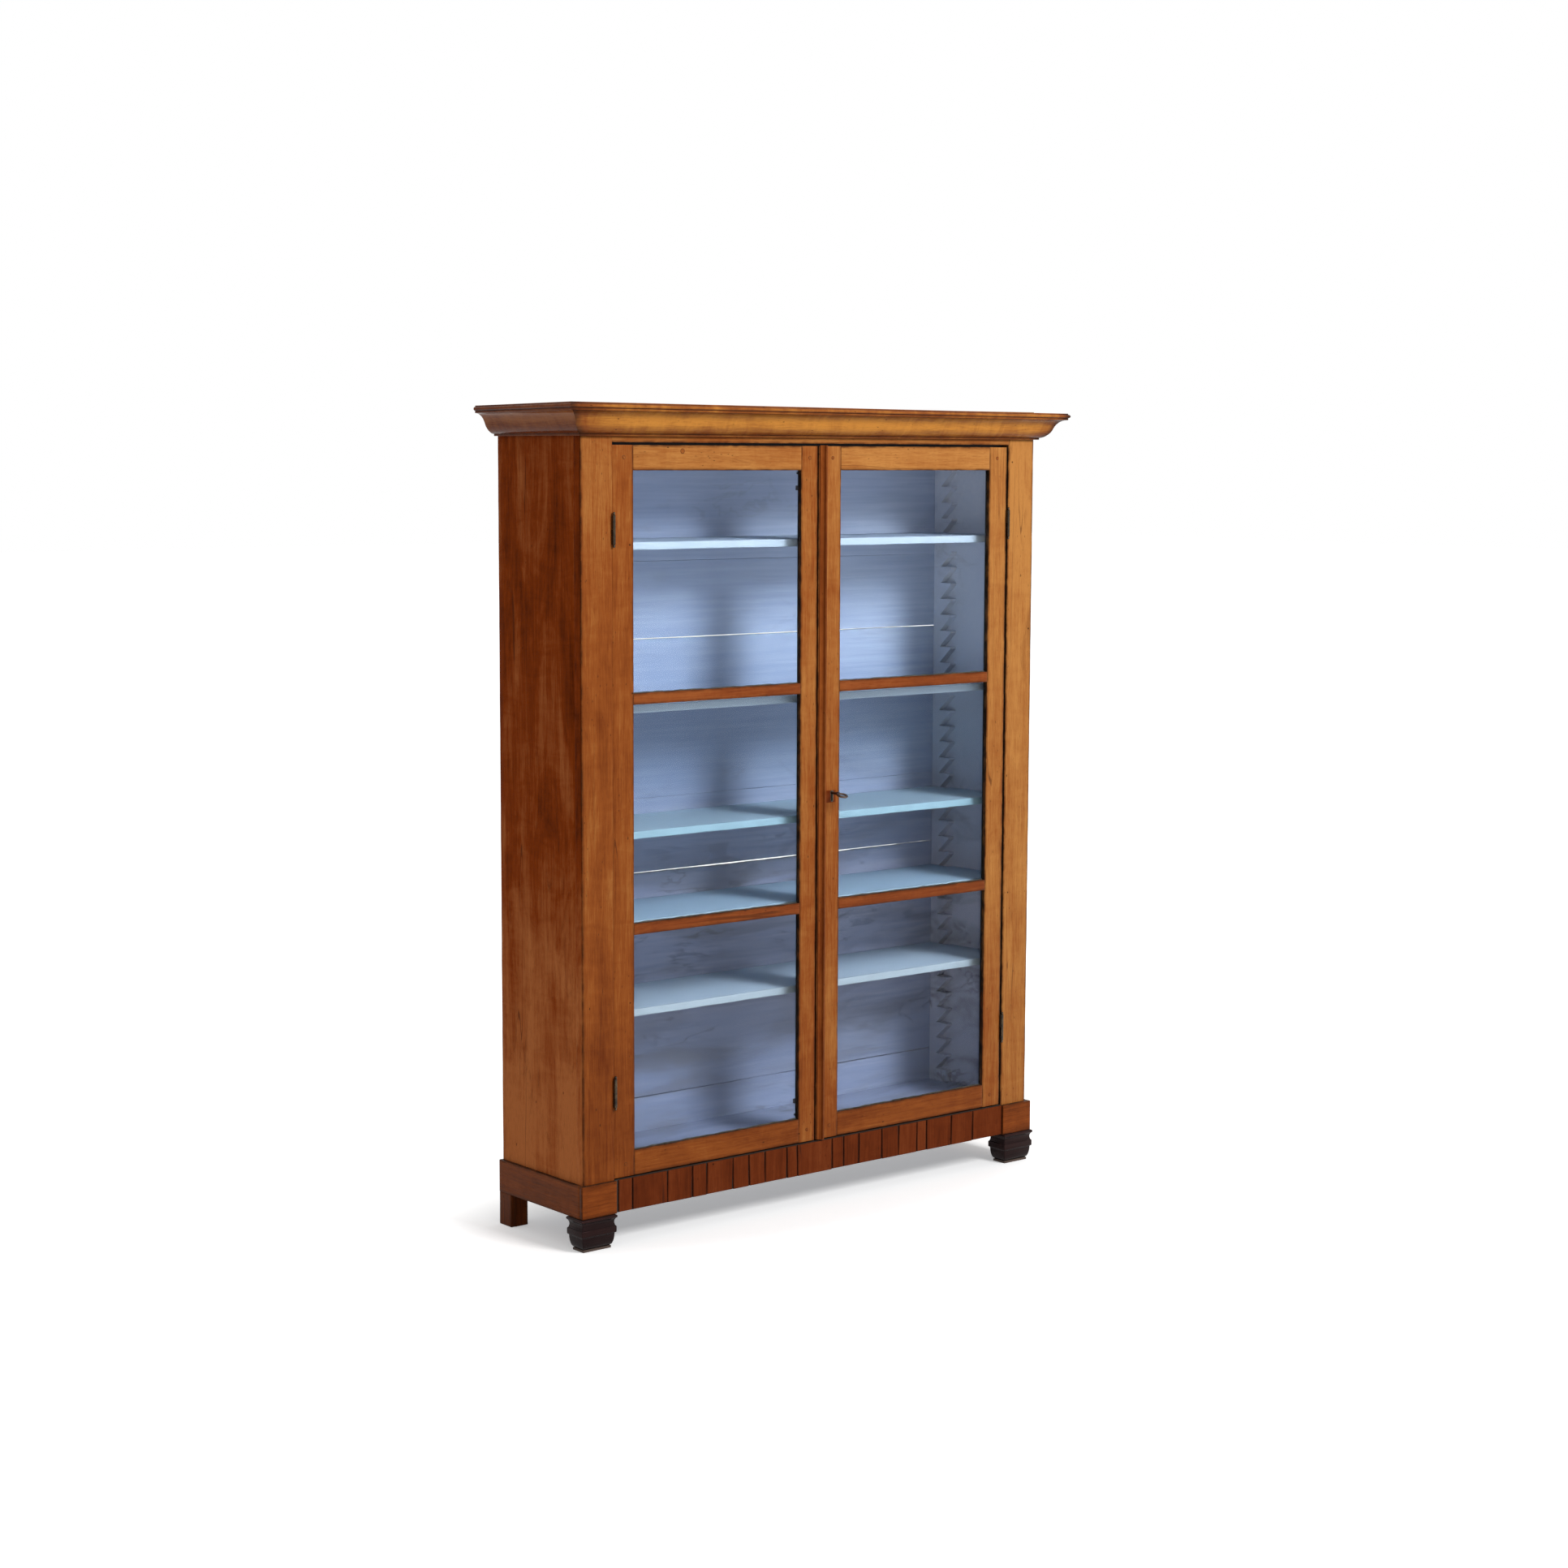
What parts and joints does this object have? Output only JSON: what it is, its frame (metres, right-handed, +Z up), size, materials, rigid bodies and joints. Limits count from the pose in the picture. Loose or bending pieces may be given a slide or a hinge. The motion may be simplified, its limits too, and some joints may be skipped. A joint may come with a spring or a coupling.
{
  "type": "glazed bookcase",
  "caption": "Tall bookcase with glazed swing doors, moulded cornice, plinth on moulded feet and loose shelves on sawtooth racks; lock with ring key and slide bolts.",
  "frame": {"origin": "on the floor, under the middle of the box that the whole bookcase fills", "axes": "+X to the viewer's right when facing the doors, +Y to the back, +Z up"},
  "size_m": [1.4, 0.36, 1.76],
  "materials": {
    "mahogany_case": "old shellac, satin, upright grain, worn",
    "mahogany_doors": "old shellac, satin, grain along each rail and stile",
    "dark_mahogany": "dark stained, satin, scuffed",
    "veneer_staves": "upright veneer with open cracks",
    "black_foot": "black stained, satin",
    "bare_wood": "unfinished, matt",
    "blue_paint": "pale blue paint over wood, matt, stained and rubbed",
    "glass": "clear window glass",
    "putty": "dark set putty, matt",
    "brass": "old brass, darkened",
    "steel": "old steel, dull"
  },
  "bodies": {
    "carcass": {"left_side": "mahogany_case", "right_side": "mahogany_case", "left_pilaster": "mahogany_case", "right_pilaster": "mahogany_case", "frieze_rail": "mahogany_case", "cornice_front": "mahogany_case", "cornice_left": "mahogany_case", "cornice_right": "mahogany_case", "left_plinth_block": "dark_mahogany", "right_plinth_block": "dark_mahogany", "left_plinth_side": "dark_mahogany", "right_plinth_side": "dark_mahogany", "left_back_post": "dark_mahogany", "right_back_post": "dark_mahogany", "apron_staves": "veneer_staves", "left_front_foot": "black_foot", "right_front_foot": "black_foot", "dust_board": "bare_wood", "apron_core": "bare_wood", "front_foot_soles": "bare_wood", "back_boards": "blue_paint", "top_board": "blue_paint", "bottom_board": "blue_paint", "shelf_racks": "blue_paint", "shelf_bearers": "blue_paint", "left_hinge_frame_leaves": "brass", "right_hinge_frame_leaves": "brass", "hinge_pins": "brass"},
    "left_door": {"left_hinge_stile": "mahogany_doors", "left_meeting_stile": "mahogany_doors", "left_bottom_rail": "mahogany_doors", "left_top_rail": "mahogany_doors", "left_glazing_bars": "mahogany_doors", "left_panes": "glass", "left_putty": "putty", "left_pegs": "mahogany_doors", "left_hinge_door_leaves": "brass", "slide_bolt_plates": "steel"},
    "right_door": {"right_hinge_stile": "mahogany_doors", "right_meeting_stile": "mahogany_doors", "right_bottom_rail": "mahogany_doors", "right_top_rail": "mahogany_doors", "right_glazing_bars": "mahogany_doors", "right_panes": "glass", "right_putty": "putty", "right_pegs": "mahogany_doors", "right_hinge_door_leaves": "brass", "cover_strip": "mahogany_doors", "keyhole_liner": "brass", "lock_case": "steel"},
    "key": {"key": "steel"},
    "lock_bolt": {"lock_bolt": "steel"},
    "top_slide_bolt": {"top_slide_bolt": "steel"},
    "bottom_slide_bolt": {"bottom_slide_bolt": "steel"},
    "shelf_1": {"shelf_1": "blue_paint"},
    "shelf_2": {"shelf_2": "blue_paint"},
    "shelf_3": {"shelf_3": "blue_paint"},
    "shelf_4": {"shelf_4": "blue_paint"},
    "shelf_5": {"shelf_5": "blue_paint"}
  },
  "joints": [
    {"name": "left_door_swing", "type": "hinge", "parent": "carcass", "child": "left_door", "pos_m": [-0.56, -0.125, 0.9], "axis": [0, 0, -1], "range_deg": [0, 170]},
    {"name": "right_door_swing", "type": "hinge", "parent": "carcass", "child": "right_door", "pos_m": [0.55825, -0.125, 0.9], "axis": [0, 0, 1], "range_deg": [0, 170]},
    {"name": "key_turn", "type": "hinge", "parent": "right_door", "child": "key", "pos_m": [0.035, -0.12, 0.92], "axis": [0, -1, 0], "range_deg": [0, 180]},
    {"name": "lock_bolt_throw", "type": "slide", "parent": "right_door", "child": "lock_bolt", "axis": [-1, 0, 0], "range_m": [0, 0.012]},
    {"name": "top_bolt_slide", "type": "slide", "parent": "left_door", "child": "top_slide_bolt", "axis": [0, 0, 1], "range_m": [0, 0.014]},
    {"name": "bottom_bolt_slide", "type": "slide", "parent": "left_door", "child": "bottom_slide_bolt", "axis": [0, 0, -1], "range_m": [0, 0.014]},
    {"name": "shelf_1_lift", "type": "slide", "parent": "carcass", "child": "shelf_1", "axis": [0, 0, 1], "range_m": [0, 0.03]},
    {"name": "shelf_2_lift", "type": "slide", "parent": "carcass", "child": "shelf_2", "axis": [0, 0, 1], "range_m": [0, 0.03]},
    {"name": "shelf_3_lift", "type": "slide", "parent": "carcass", "child": "shelf_3", "axis": [0, 0, 1], "range_m": [0, 0.03]},
    {"name": "shelf_4_lift", "type": "slide", "parent": "carcass", "child": "shelf_4", "axis": [0, 0, 1], "range_m": [0, 0.03]},
    {"name": "shelf_5_lift", "type": "slide", "parent": "carcass", "child": "shelf_5", "axis": [0, 0, 1], "range_m": [0, 0.03]}
  ],
  "couplings": [
    {"joint": "lock_bolt_throw", "follows": "key_turn", "m_per_rad": 0.0038197}
  ]
}
